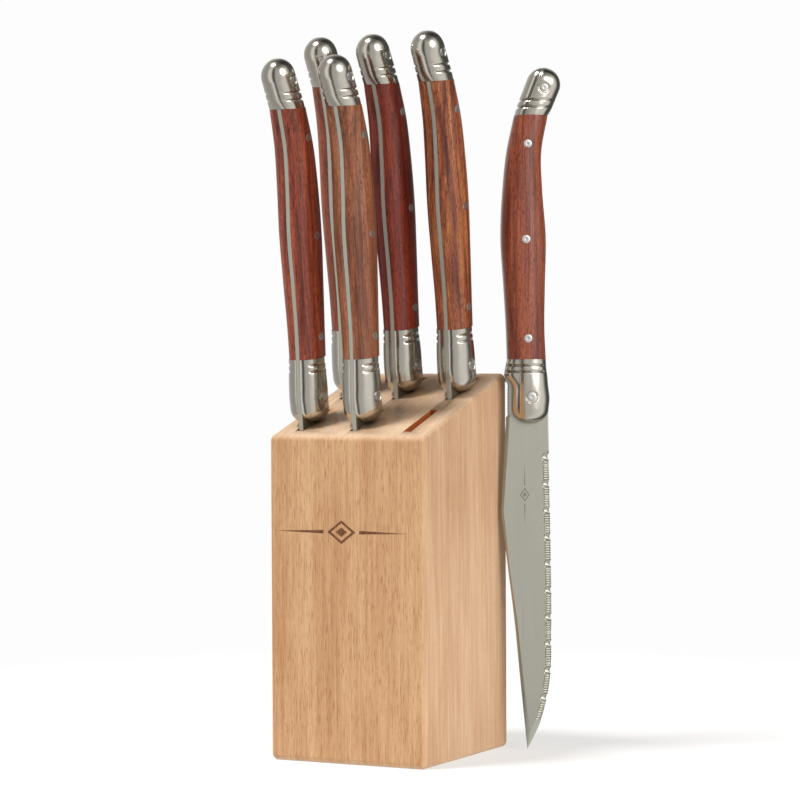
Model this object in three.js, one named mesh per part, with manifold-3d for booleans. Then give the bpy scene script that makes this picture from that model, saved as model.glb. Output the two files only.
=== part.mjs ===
// Knife block of glued beech boards with six steak knives: five stand in its slots, and one leans on its side.
// Millimetres, +Z up. The origin is on the floor under the middle of the block, and the block's front faces -Y.
// Each knife is built in its own frame: tip at the origin, +Z along the knife, spine towards +Y,
// cutting edge towards -Y and its thickness along X.
import * as THREE from "three";
import { ParametricGeometry } from "three/addons/geometries/ParametricGeometry.js";
import { mergeVertices } from "three/addons/utils/BufferGeometryUtils.js";
import Module from "manifold-3d";

const wasm = await Module();
wasm.setup();

const degree = Math.PI / 180;

// Knife, along its length from the tip up
const bladeLength = 110;
const bolsterLength = 21.7;
const scaleLength = 82.5;
const pommelLength = 16.5;
const bladeWidth = 17;
const handleWidth = 15.5;
const handleThickness = 13;
const tangThickness = 1.5;
const glueGap = 0.1;

// Blade outline: heights are shares of bladeLength, the rest are shares of bladeWidth
const spineAt = [0, 0.21, 0.4, 0.56, 0.73];
const spineOut = [0, 0.14, 0.26, 0.39, 0.53];
const heelSpineOut = 0.43;
const edgeAt = [0, 0.09, 0.21, 0.35, 0.6, 1];
const edgeOut = [0, 0.28, 0.46, 0.49, 0.48, 0.42];
const scallopCount = 10;
const scallopDepth = 0.45;
const scallopsStart = 0.09;
const scallopsEnd = 0.91;

// Handle outline: heights are shares of the scales' length, out to spine and edge are shares of handleWidth,
// and thick is a share of handleThickness
const handleAt = [0, 0.12, 0.3, 0.5, 0.7, 0.85, 1];
const handleSpine = [0.44, 0.46, 0.515, 0.58, 0.535, 0.45, 0.285];
const handleEdge = [0.4, 0.37, 0.38, 0.4, 0.32, 0.3, 0.44];
const handleThick = [0.86, 0.9, 0.96, 1, 1, 0.97, 0.88];

// Bolster outline above its rounded foot: the same shares, of the bolster's length. Its spine side flares out at
// the section numbered flareFrom
const bolsterAt = [0.23, 0.38, 0.6, 0.76, 0.86, 1];
const bolsterSpine = [0.35, 0.35, 0.36, 0.5, 0.485, 0.44];
const bolsterEdge = [0.46, 0.48, 0.45, 0.43, 0.41, 0.4];
const bolsterThick = 0.95;
const flareFrom = 3;
const bolsterFootSteps = [0.03, 0.2, 0.5];

// Thumb rest on the tang's spine with a knob at its upper end: shares of bolsterLength, shares of handleWidth
const heelShare = (heelSpineOut * bladeWidth) / handleWidth;
const thumbRest = [
  [0.1, heelShare],
  [0.12, 0.435],
  [0.63, 0.435],
  [0.66, 0.49],
  [0.72, 0.49],
  [0.74, 0.45],
];

// Pommel: it bends over towards the cutting edge and ends in a dome
const pommelBend = 22 * degree;
const pommelRadius = 5.75;
const pommelThick = 10.8;
const pommelSteps = [0.35, 0.7, 1];
const domeSteps = [30 * degree, 55 * degree, 75 * degree, 87 * degree];
const stubWidth = 5.5;
const stubHeight = 12;
const stubGap = 0.2;

// Pins: three rivets through scales and tang, a pin through each bolster and one in each pommel
const rivetRadius = 1.45;
const rivetAt = [0.085, 0.49, 0.88];
const bolsterPinRadius = 1.5;
const bolsterPinAt = 0.415;
const bolsterPinOut = 0.04;
const pommelPinRadius = 1.35;
const pommelPinHeight = 10;
const pinGap = 0.1;

// Block
const columnPitch = 20;
const rowWall = 9.54;
const slotWidth = 2.8;
const sideWall = 7.1;
const frontWall = 5.4;
const backWall = 6.3;
const topRise = 21;
const edgeRound = 1.8;
const cornerRound = 2.2;
const glueLine = 0.1;

// How the knives stand in their slots
const slotLean = 2 * degree;
const drawLean = 6.5 * degree;
const slotEndGap = 0.4;
const slotSideGap = 0.15;
const seatGap = 0.3;
const tipGap = 2.5;
const sideLean = 0.4 * degree;

// Knives in the block: column from the left, row from the front, and how far each leans forward
const blockKnives = [
  { column: -1, row: 0, lean: 8.4 * degree, wood: 0x7a3322 },
  { column: -1, row: 1, lean: 9 * degree, wood: 0x8a4a32 },
  { column: 0, row: 0, lean: 7.5 * degree, wood: 0xa8694a },
  { column: 0, row: 1, lean: 9.3 * degree, wood: 0x6e2a20 },
  { column: 1, row: 1, lean: 9 * degree, wood: 0x94593f },
];

// The knife that stands on its tip beside the block, its flat towards the block's side
const looseKnife = {
  sideGap: 0.44,
  fromBack: 5.2,
  above: 0.25,
  turn: 34 * degree,
  lean: 1.5 * degree,
  sway: 0.45 * degree,
  wood: 0x86402c,
};

// Facets of round shapes
const ringSteps = 6;
const pinSides = 10;
const bladeSteps = 10;
const scaleSteps = 8;
const scallopSteps = 3;
const roundSteps = 3;
const woodPower = 2.3;
const metalPower = 2.8;

const steel = { color: 0xc9c6bd, roughness: 0.28, metalness: 1 };
const pinSteel = { color: 0xd8d8d4, roughness: 0.35, metalness: 1 };
const beech = { color: 0xdcb48c, roughness: 0.6, metalness: 0 };

// ---- Outlines ----

// Smooth curve through values at rising positions
function curveThrough(positions, values) {
  const curve = new THREE.CubicInterpolant(positions, values, 1, []);
  return (at) => curve.evaluate(at)[0];
}

const scaleFoot = bladeLength + bolsterLength;
const scaleTop = scaleFoot + scaleLength;

const bladeSpineCurve = curveThrough(spineAt, spineOut);
const bladeEdgeCurve = curveThrough(edgeAt, edgeOut);
const bladeCorner = spineAt.at(-1);

// How far the blade's spine lies behind the tip's line, at a share of its length
function bladeSpine(at) {
  if (at < bladeCorner) {
    return bladeWidth * bladeSpineCurve(at);
  }
  const past = (at - bladeCorner) / (1 - bladeCorner);
  return bladeWidth * THREE.MathUtils.lerp(spineOut.at(-1), heelSpineOut, past);
}

function bladeEdge(at) {
  return bladeWidth * bladeEdgeCurve(at);
}

// Shallow scallops ground into the cutting edge
function scallop(at) {
  const along = (at - scallopsStart) / (scallopsEnd - scallopsStart);
  if (along <= 0 || along >= 1) {
    return 0;
  }
  return scallopDepth * Math.abs(Math.sin(Math.PI * scallopCount * along));
}

const handleSpineCurve = curveThrough(handleAt, handleSpine);
const handleEdgeCurve = curveThrough(handleAt, handleEdge);
const handleThickCurve = curveThrough(handleAt, handleThick);

// Section of the handle at a share of the scales' length
function scaleSection(at) {
  return {
    height: scaleFoot + at * scaleLength,
    spine: handleWidth * handleSpineCurve(at),
    edge: handleWidth * handleEdgeCurve(at),
    thick: (handleThickness / 2) * handleThickCurve(at),
  };
}

const scaleSections = Array.from({ length: scaleSteps + 1 }, (_, i) => scaleSection(i / scaleSteps));

// Sections of the bolster: a rounded foot, then its outline up to the scales. The tang's edge side follows them
// from the top of the foot, and its spine side from the flare
const footIndex = bolsterFootSteps.length;
const flareIndex = footIndex + flareFrom;
const bolsterSections = [];
const footHeight = bolsterAt[0] * bolsterLength;
for (const rise of bolsterFootSteps) {
  const wide = Math.sqrt(1 - (1 - rise) ** 2);
  const middle = (bolsterEdge[0] - bolsterSpine[0]) / 2;
  const half = (wide * (bolsterEdge[0] + bolsterSpine[0])) / 2;
  bolsterSections.push({
    height: bladeLength + rise * footHeight,
    spine: handleWidth * (half - middle),
    edge: handleWidth * (half + middle),
    thick: (wide * bolsterThick * handleThickness) / 2,
  });
}
bolsterAt.forEach((at, i) =>
  bolsterSections.push({
    height: bladeLength + at * bolsterLength,
    spine: handleWidth * bolsterSpine[i],
    edge: handleWidth * bolsterEdge[i],
    thick: (bolsterThick * handleThickness) / 2,
  }),
);

// ---- Solids ----

function solidOf(geometry) {
  const bare = geometry.clone();
  bare.deleteAttribute("normal");
  bare.deleteAttribute("uv");
  const merged = mergeVertices(bare, 1e-4);
  const mesh = new wasm.Mesh({
    numProp: 3,
    vertProperties: merged.attributes.position.array,
    triVerts: new Uint32Array(merged.index.array),
  });
  return new wasm.Manifold(mesh);
}

function geometryOf(solid) {
  const { vertProperties, triVerts } = solid.getMesh();
  const geometry = new THREE.BufferGeometry();
  geometry.setAttribute("position", new THREE.BufferAttribute(vertProperties, 3));
  geometry.setIndex(new THREE.BufferAttribute(triVerts, 1));
  geometry.computeVertexNormals();
  return geometry;
}

// Closed solid through rings of points, each ring with as many points as the next and closed by a flat end
function loft(rings) {
  const middle = (ring) => {
    const sum = ring.reduce((total, point) => total.add(point), new THREE.Vector3());
    return sum.divideScalar(ring.length);
  };
  const rows = [[middle(rings[0])], ...rings, [middle(rings.at(-1))]];
  const place = (u, v, target) => {
    const row = rows[Math.round(v * (rows.length - 1))];
    target.copy(row[Math.round(u * rings[0].length) % row.length]);
  };
  return solidOf(new ParametricGeometry(place, rings[0].length, rows.length - 1));
}

const signedPower = (value, power) => Math.sign(value) * Math.abs(value) ** (2 / power);

// Half of a handle section, from its flat beside the tang out to the side
function halfRing({ height, spine, edge, thick }, power) {
  const flat = tangThickness / 2 + glueGap;
  const middle = (spine - edge) / 2;
  const half = (spine + edge) / 2;
  return Array.from({ length: ringSteps + 1 }, (_, i) => {
    const angle = (i / ringSteps - 0.5) * Math.PI;
    const side = flat + (thick - flat) * signedPower(Math.cos(angle), power);
    return new THREE.Vector3(side, middle + half * signedPower(Math.sin(angle), power), height);
  });
}

// Round bar along X
function crossPin(radius, halfLength, y, z) {
  const bar = new THREE.CylinderGeometry(radius, radius, 2 * halfLength, pinSides);
  return bar.rotateZ(Math.PI / 2).translate(0, y, z);
}

// Turns an extruded drawing so that its own X runs along Y, its Y along Z and its depth along X
const drawnAcrossX = new THREE.Matrix4().set(0, 0, 1, 0, 1, 0, 0, 0, 0, 1, 0, 0, 0, 0, 0, 1);

// Flat plate across X from an outline drawn spine against height, with round holes
function plate(outline, thickness, holes = []) {
  const shape = new THREE.Shape(outline.map(([y, z]) => new THREE.Vector2(y, z)));
  for (const { y, z, radius } of holes) {
    shape.holes.push(new THREE.Path().absarc(y, z, radius, 0, 2 * Math.PI));
  }
  const options = { depth: thickness, bevelEnabled: false, curveSegments: pinSides / 2 };
  const geometry = new THREE.ExtrudeGeometry(shape, options).translate(0, 0, -thickness / 2);
  return geometry.applyMatrix4(drawnAcrossX);
}

function addMesh(group, name, geometry, finish) {
  const mesh = new THREE.Mesh(geometry, new THREE.MeshStandardMaterial(finish));
  mesh.name = name;
  group.add(mesh);
  return mesh;
}

// ---- Knife ----

// Middle of the handle at a section, as a Y value
const middleOf = ({ spine, edge }) => (spine - edge) / 2;

const rivets = rivetAt.map((at) => {
  const section = scaleSection(at);
  return { y: middleOf(section), z: section.height, halfLength: section.thick, radius: rivetRadius };
});

const bolsterPin = {
  y: -bolsterPinOut * handleWidth,
  z: bladeLength + bolsterPinAt * bolsterLength,
  halfLength: (bolsterThick * handleThickness) / 2,
  radius: bolsterPinRadius,
};

const pommelFoot = scaleSections.at(-1);
const pommelAxis = new THREE.Vector3(0, -Math.sin(pommelBend), Math.cos(pommelBend));
const pommelStart = new THREE.Vector3(0, middleOf(pommelFoot), scaleTop);
// The dome's centre, as far along the bend as leaves the dome's top at pommelLength
const pommelReach = (pommelLength - pommelRadius) / Math.cos(pommelBend);
const alongPommel = (distance) => pommelStart.clone().addScaledVector(pommelAxis, distance);

const pommelPinCentre = alongPommel(pommelPinHeight);
const pommelPin = {
  y: pommelPinCentre.y,
  z: pommelPinCentre.z,
  halfLength: pommelThick / 2,
  radius: pommelPinRadius,
};

// Full ring of the pommel around its axis
function pommelRing(distance, bend, half, thick) {
  const centre = alongPommel(distance);
  return Array.from({ length: 2 * ringSteps }, (_, i) => {
    const angle = (i / ringSteps) * Math.PI;
    const across = half * signedPower(Math.sin(angle), metalPower);
    return new THREE.Vector3(
      thick * signedPower(Math.cos(angle), metalPower),
      centre.y + across * Math.cos(bend),
      centre.z + across * Math.sin(bend),
    );
  });
}

// The tang's stub inside the pommel, a bar along the pommel's bend
function stubCorners(grow, foot) {
  const out = new THREE.Vector3(0, Math.cos(pommelBend), Math.sin(pommelBend));
  const half = stubWidth / 2 + grow;
  return [
    alongPommel(foot).addScaledVector(out, half),
    alongPommel(stubHeight + grow).addScaledVector(out, half),
    alongPommel(stubHeight + grow).addScaledVector(out, -half),
    alongPommel(foot).addScaledVector(out, -half),
  ].map((point) => [point.y, point.z]);
}

function makePommel() {
  const footHalf = (pommelFoot.spine + pommelFoot.edge) / 2;
  const rings = [pommelRing(0, 0, footHalf, pommelFoot.thick)];
  for (const share of pommelSteps) {
    const half = THREE.MathUtils.lerp(footHalf, pommelRadius, share);
    rings.push(pommelRing(share * pommelReach, pommelBend * Math.min(1, 2 * share), half, pommelThick / 2));
  }
  for (const angle of domeSteps) {
    const round = Math.cos(angle);
    const distance = pommelReach + pommelRadius * Math.sin(angle);
    rings.push(pommelRing(distance, pommelBend, pommelRadius * round, (pommelThick / 2) * round));
  }
  const pocket = plate(stubCorners(stubGap, -stubWidth), tangThickness + 2 * stubGap);
  const pin = crossPin(pommelPin.radius, pommelPin.halfLength, pommelPin.y, pommelPin.z);
  return geometryOf(loft(rings).subtract(solidOf(pocket)).add(solidOf(pin)));
}

// Blade and full tang, one sheet of steel
function makeBlade() {
  const shoulder = scaleTop - glueGap;
  const topSection = { ...pommelFoot, height: shoulder };
  const handleSections = [...bolsterSections, ...scaleSections.slice(1, -1), topSection];
  const outline = [[0, 0]];
  for (let i = 1; i <= bladeSteps; i += 1) {
    const at = (i / bladeSteps) * bladeCorner;
    outline.push([bladeSpine(at), at * bladeLength]);
  }
  outline.push([bladeSpine(1), bladeLength]);
  for (const [at, out] of thumbRest) {
    outline.push([handleWidth * out, bladeLength + at * bolsterLength]);
  }
  for (const { spine, height } of handleSections.slice(flareIndex)) {
    outline.push([spine, height]);
  }
  const [footSpine, topSpine, topEdge, footEdge] = stubCorners(0, 0);
  outline.push([footSpine[0], shoulder], topSpine, topEdge, [footEdge[0], shoulder]);
  for (const { edge, height } of handleSections.slice(footIndex).reverse()) {
    outline.push([-edge, height]);
  }
  const edgeSteps = scallopSteps * scallopCount;
  for (let i = edgeSteps; i >= 0; i -= 1) {
    const at = THREE.MathUtils.lerp(scallopsStart, scallopsEnd, i / edgeSteps);
    outline.push([scallop(at) - bladeEdge(at), at * bladeLength]);
  }
  outline.push([-bladeEdge(scallopsStart / 2), (scallopsStart / 2) * bladeLength]);
  const holes = [...rivets, bolsterPin, pommelPin].map(({ y, z, radius }) => ({
    y,
    z,
    radius: radius + pinGap,
  }));
  return plate(outline, tangThickness, holes);
}

// Holes through a half of the handle for the pins that cross it
function drill(solid, pins) {
  return pins.reduce((rest, { radius, y, z }) => {
    return rest.subtract(solidOf(crossPin(radius + pinGap, handleThickness, y, z)));
  }, solid);
}

// Each shape of a knife once; the left pieces are the right ones mirrored
const bladeShape = makeBlade();
const woodRings = scaleSections.map((section) => halfRing(section, woodPower));
const scaleShape = geometryOf(drill(loft(woodRings), rivets));
const bareBolster = loft(bolsterSections.map((section) => halfRing(section, metalPower)));
const bolsterShape = geometryOf(drill(bareBolster, [bolsterPin]));
const pinBar = crossPin(bolsterPin.radius, bolsterPin.halfLength, bolsterPin.y, bolsterPin.z);
const pinnedBolsterShape = geometryOf(bareBolster.add(solidOf(pinBar)));
const pommelShape = makePommel();
const rivetNames = ["front", "middle", "rear"];
const rivetShapes = rivets.map(({ radius, halfLength, y, z }) => crossPin(radius, halfLength, y, z));

// One knife, nine pieces
function makeKnife(name, wood) {
  const knife = new THREE.Group();
  const rosewood = { color: wood, roughness: 0.5, metalness: 0 };
  addMesh(knife, `${name}_blade`, bladeShape, steel);
  addMesh(knife, `${name}_scale_right`, scaleShape, rosewood);
  addMesh(knife, `${name}_scale_left`, scaleShape, rosewood).scale.x = -1;
  addMesh(knife, `${name}_bolster_right`, bolsterShape, steel);
  addMesh(knife, `${name}_bolster_left`, pinnedBolsterShape, steel).scale.x = -1;
  addMesh(knife, `${name}_pommel`, pommelShape, steel);
  rivetShapes.forEach((shape, i) => addMesh(knife, `${name}_rivet_${rivetNames[i]}`, shape, pinSteel));
  return knife;
}

// ---- Block ----

// How far a leaning blade reaches along its slot, both at rest and on its way out
function slotNeed(lean) {
  const tilt = lean - slotLean;
  const drawTilt = drawLean - slotLean;
  let rear = -Infinity;
  let front = Infinity;
  for (let i = 0; i <= 2 * bladeSteps; i += 1) {
    const at = i / (2 * bladeSteps);
    const below = (1 - at) * bladeLength;
    const shift = at * bladeLength * Math.sin(tilt);
    rear = Math.max(rear, bladeSpine(at) * Math.cos(tilt) - shift);
    front = Math.min(front, -bladeEdge(at) * Math.cos(tilt) - shift - below * Math.sin(drawTilt));
  }
  return rear - front + 2 * slotEndGap;
}

const slotLengths = [0, 1].map((row) => {
  const standing = blockKnives.filter((knife) => knife.row === row);
  return Math.max(...standing.map(({ lean }) => slotNeed(lean)));
});
const rowPitch = slotLengths[0] + rowWall;
const blockWidth = 2 * (columnPitch + slotWidth / 2 + sideWall);
const blockDepth = frontWall + rowPitch + slotLengths[1] + backWall;
const slope = topRise / blockDepth;

// Front end of a row's slots, where they open on the sloping top
const slotFront = (row) => frontWall + row * rowPitch - blockDepth / 2;

// Height of the top above its front edge
const topAbove = (y) => slope * (y + blockDepth / 2);

// Where a knife's tip stands, measured from the level of the top's front edge: its bolsters rest on the
// top, and its edge is at the front end of its slot
function tipPlace({ row, lean }) {
  const sin = Math.sin(lean);
  const cos = Math.cos(lean);
  const over = ([y, z]) => y * sin + z * cos - slope * (y * cos - z * sin);
  const foot = bolsterSections.flatMap(({ spine, edge, height }) => [
    [spine, height],
    [-edge, height],
  ]);
  const seat = seatGap / Math.cos(Math.atan(slope));
  const level = topAbove(0) + seat - Math.min(...foot.map(over));
  const heel = bladeEdge(1);
  const entryY = slotFront(row) + slotEndGap;
  const alongBlade = (topAbove(0) + heel * (sin - slope * cos) - level) / (cos + slope * sin);
  return {
    y: entryY + heel * cos + alongBlade * sin,
    z: topAbove(entryY) + heel * sin - alongBlade * cos,
  };
}

const frontHeight = tipGap - Math.min(...blockKnives.map((knife) => tipPlace(knife).z));
const backHeight = frontHeight + topRise;

// Solid block with rounded edges
function makeBlockForm() {
  const half = blockDepth / 2;
  const corners = [
    [-half, 0],
    [half, 0],
    [half, backHeight],
    [-half, frontHeight],
  ].map(([y, z]) => new THREE.Vector2(y, z));
  const shape = new THREE.Shape();
  corners.forEach((corner, i) => {
    const before = corners.at(i - 1).clone().sub(corner).normalize();
    const after = corners[(i + 1) % corners.length].clone().sub(corner).normalize();
    const halfAngle = before.angleTo(after) / 2;
    const inward = before.clone().add(after).normalize();
    const centre = corner.clone().addScaledVector(inward, cornerRound / Math.sin(halfAngle));
    const reach = cornerRound / Math.tan(halfAngle);
    const start = corner.clone().addScaledVector(before, reach).sub(centre).angle();
    const end = corner.clone().addScaledVector(after, reach).sub(centre).angle();
    shape.absarc(centre.x, centre.y, cornerRound, start, end, false);
  });
  const geometry = new THREE.ExtrudeGeometry(shape, {
    depth: blockWidth - 2 * edgeRound,
    bevelThickness: edgeRound,
    bevelSize: edgeRound,
    bevelOffset: -edgeRound,
    bevelSegments: roundSteps,
    curveSegments: roundSteps,
  }).translate(0, 0, edgeRound - blockWidth / 2);
  return solidOf(geometry.applyMatrix4(drawnAcrossX));
}

// Groove for one knife, open on the left face of its board and right through from top to bottom
function groove(left, row) {
  const tall = 2 * backHeight;
  const bar = new THREE.BoxGeometry(2 * slotWidth, slotLengths[row], 2 * tall);
  bar.translate(0, slotLengths[row] / 2, 0).rotateX(slotLean);
  return solidOf(bar.translate(left, slotFront(row), frontHeight + topAbove(slotFront(row))));
}

// Four boards side by side: a plain cheek, then three with grooves in their left faces
function makeBlock() {
  const block = new THREE.Group();
  const form = makeBlockForm();
  const grooved = [-1, 0, 1].map((column) => column * columnPitch - slotWidth / 2);
  const lefts = [-blockWidth, ...grooved];
  lefts.forEach((left, i) => {
    const right = i < grooved.length ? grooved[i] - glueLine : blockWidth;
    const slab = new THREE.BoxGeometry(right - left, 2 * blockDepth, 4 * backHeight);
    let board = form.intersect(solidOf(slab.translate((left + right) / 2, 0, 0)));
    if (i > 0) {
      board = board.subtract(groove(left, 0)).subtract(groove(left, 1));
    }
    addMesh(block, `block_board_${i + 1}`, geometryOf(board), beech);
  });
  return block;
}

// ---- Assembly ----

const assembly = new THREE.Group();
assembly.add(makeBlock());

// The least X that a group reaches below a level
function reachDown(group, level) {
  let reach = Infinity;
  group.updateMatrixWorld(true);
  for (const { geometry, matrixWorld } of group.children) {
    const places = geometry.getAttribute("position");
    for (let i = 0; i < places.count; i += 1) {
      const point = new THREE.Vector3().fromBufferAttribute(places, i).applyMatrix4(matrixWorld);
      if (point.z < level) {
        reach = Math.min(reach, point.x);
      }
    }
  }
  return reach;
}

// At the mouth of its slot a blade stands near the right wall, and it leans that way from its tip
const mouthShift = (slotWidth - tangThickness) / 2 - slotSideGap;
const tipShift = mouthShift - bladeLength * Math.tan(sideLean);
blockKnives.forEach((place, i) => {
  const knife = makeKnife(`knife_${i + 1}`, place.wood);
  const tip = tipPlace(place);
  knife.position.set(place.column * columnPitch + tipShift, tip.y, frontHeight + tip.z);
  knife.rotation.set(place.lean, sideLean, 0);
  assembly.add(knife);
});

const leaning = makeKnife(`knife_${blockKnives.length + 1}`, looseKnife.wood);
leaning.position.set(0, blockDepth / 2 - looseKnife.fromBack, looseKnife.above);
leaning.rotation.set(looseKnife.sway, looseKnife.lean, looseKnife.turn + Math.PI / 2, "ZYX");
leaning.position.x = blockWidth / 2 + looseKnife.sideGap - reachDown(leaning, backHeight);
assembly.add(leaning);

export default assembly;
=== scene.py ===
import math
import bpy
import numpy as np
from mathutils import Matrix, Vector


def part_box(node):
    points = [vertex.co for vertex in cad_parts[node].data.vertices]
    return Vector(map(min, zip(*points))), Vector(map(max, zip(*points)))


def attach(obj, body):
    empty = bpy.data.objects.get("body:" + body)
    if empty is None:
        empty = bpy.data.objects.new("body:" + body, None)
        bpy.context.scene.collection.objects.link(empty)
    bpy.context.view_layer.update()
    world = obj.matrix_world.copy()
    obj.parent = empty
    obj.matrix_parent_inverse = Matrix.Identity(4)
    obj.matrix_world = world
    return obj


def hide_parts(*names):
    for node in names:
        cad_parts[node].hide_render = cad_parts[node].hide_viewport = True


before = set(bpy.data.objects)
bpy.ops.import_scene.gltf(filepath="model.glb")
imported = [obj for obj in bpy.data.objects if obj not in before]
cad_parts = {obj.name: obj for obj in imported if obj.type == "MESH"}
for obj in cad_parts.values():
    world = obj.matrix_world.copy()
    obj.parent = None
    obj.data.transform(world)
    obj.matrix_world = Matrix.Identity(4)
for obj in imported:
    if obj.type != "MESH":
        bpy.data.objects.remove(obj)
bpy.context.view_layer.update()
mm = 0.001
knives = [f"knife_{number}" for number in range(1, 7)]

camera = {
    "place": (0.4404, -0.8421, 0.1340),
    "lens": 127.5,
    "turn": math.radians(27.4),
    "tiltDown": math.radians(0.93),
    "roll": math.radians(-0.28),
}


def makeCamera():
    data = bpy.data.cameras.new("viewCamera")
    data.lens = camera["lens"]
    data.clip_start = 0.05
    shot = bpy.data.objects.new("viewCamera", data)
    turned = Matrix.Rotation(camera["turn"], 4, "Z")
    tilted = Matrix.Rotation(math.pi / 2 - camera["tiltDown"], 4, "X")
    rolled = Matrix.Rotation(camera["roll"], 4, "Z")
    shot.matrix_world = Matrix.Translation(camera["place"]) @ turned @ tilted @ rolled
    bpy.context.scene.collection.objects.link(shot)
    bpy.context.scene.camera = shot


# sRGB hex to linear colour
def hexColour(text):
    shares = [int(text[i:i + 2], 16) / 255 for i in (0, 2, 4)]
    return [s / 12.92 if s <= 0.04045 else ((s + 0.055) / 1.055) ** 2.4 for s in shares] + [1.0]


def grey(level):
    return (level, level, level, 1)


# adds a node, sets its sockets and properties, fills a ramp's stops and links the sockets named; a node given
# as a source stands for its first output
def addNode(tree, kind, settings=None, links=None, stops=None):
    node = tree.nodes.new(kind)
    for key, value in (settings or {}).items():
        if isinstance(key, int) or key in node.inputs:
            node.inputs[key].default_value = value
        else:
            setattr(node, key, value)
    for key, source in (links or {}).items():
        output = source.outputs[0] if isinstance(source, bpy.types.Node) else source
        tree.links.new(output, node.inputs[key])
    if stops:
        ramp = node.color_ramp.elements
        while len(ramp) < len(stops):
            ramp.new(0.5)
        for element, (position, colour) in zip(ramp, stops):
            element.position = position
            element.color = colour
    return node


def newMaterial(name):
    material = bpy.data.materials.new(name)
    material.use_nodes = True
    material.node_tree.nodes.clear()
    return material, material.node_tree


# noise whose cells have the given sizes along X, Y and Z, in the units of the place
def sizedNoise(tree, place, sizes, settings, shift=(0, 0, 0)):
    scale = [1 / size for size in sizes]
    scaled = addNode(tree, "ShaderNodeMapping", {"Scale": scale, "Location": shift}, {"Vector": place})
    return addNode(tree, "ShaderNodeTexNoise", {"Scale": 1.0, **settings}, {"Vector": scaled})


# Beech, sanded and oiled: pale pinkish tan with straight grain up the block. Its marks are short dark flecks
# on the front, thin rays across the end grain of the top, and fine pores all over
beech = {
    "tones": [(0.36, "c69872"), (0.5, "d6ac86"), (0.62, "e2bd96")],
    # the front tone is painted shade that darkens and warms the front face; the end tone is partly the end
    # grain's own tone and partly painted light on the top
    "markColour": "a3693f", "frontShadeTone": "f2eadb", "endGrainLitTone": "dacbb2", "endGrainLitShare": 0.5,
    "grain": (0.8 * mm, 1.28 * mm, 34 * mm), "cloud": (9 * mm, 18 * mm, 72 * mm), "cloudShare": 0.45,
    "marks": {  # sizes, detail, then the noise levels where a mark starts and is full, and its most
        "flecks": ((0.28 * mm, 6 * mm, 4.2 * mm), 1.0, 0.55, 0.72, 0.62),
        "rays": ((0.35 * mm, 14 * mm, 14 * mm), 2.0, 0.52, 0.66, 0.5),
        "pores": ((0.22 * mm, 0.22 * mm, 1.5 * mm), 2.0, 0.5, 0.75, 0.25),
    },
    "rough": (0.5, 0.66), "bump": 0.25, "bumpHeight": 0.12 * mm,
}
# Plain burnt ornament on the front: a lozenge between two bars that taper away
burntMark = {
    "place": (-1.5 * mm, 76 * mm), "lozenge": (5.2 * mm, 3.9 * mm), "hollow": 0.74, "middle": 0.407,
    "bar": (18 * mm, 0.6 * mm), "barStart": 6.6 * mm, "depth": 3 * mm, "colour": "5e331b",
    "strength": (0.78, 0.97),
}


# value under 1 inside a lozenge: the distances from its middle across and up, each in half sizes, added
def lozengeValue(tree, across, up, halves):
    sizes = []
    for source, half in zip((across, up), halves):
        scaled = addNode(tree, "ShaderNodeMath", {"operation": "MULTIPLY", 1: 1 / half}, {0: source})
        sizes.append(addNode(tree, "ShaderNodeMath", {"operation": "ABSOLUTE"}, {0: scaled}))
    return addNode(tree, "ShaderNodeMath", {"operation": "ADD"}, {0: sizes[0], 1: sizes[1]})


# mask of the ornament: lozenge outline with a filled middle, and a bar that thins out on each side
def ornamentMask(tree, across, up, mark):
    lozenge = lozengeValue(tree, across, up, mark["lozenge"])
    inside, hollow, middle = (
        addNode(tree, "ShaderNodeMath", {"operation": "LESS_THAN", 1: limit}, {0: lozenge})
        for limit in (1, mark["hollow"], mark["middle"]))
    ring = addNode(tree, "ShaderNodeMath", {"operation": "SUBTRACT"}, {0: inside, 1: hollow})
    reach = addNode(tree, "ShaderNodeMath", {"operation": "ABSOLUTE"}, {0: across})
    past = addNode(tree, "ShaderNodeMath", {"operation": "SUBTRACT", 1: mark["barStart"]}, {0: reach})
    barValue = lozengeValue(tree, past, up, mark["bar"])
    inBar = addNode(tree, "ShaderNodeMath", {"operation": "LESS_THAN", 1: 1}, {0: barValue})
    outside = addNode(tree, "ShaderNodeMath", {"operation": "GREATER_THAN", 1: 0.0}, {0: past})
    bars = addNode(tree, "ShaderNodeMath", {"operation": "MULTIPLY"}, {0: inBar, 1: outside})
    centre = addNode(tree, "ShaderNodeMath", {"operation": "ADD"}, {0: ring, 1: middle})
    return addNode(tree, "ShaderNodeMath", {"operation": "MAXIMUM"}, {0: centre, 1: bars})


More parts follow.
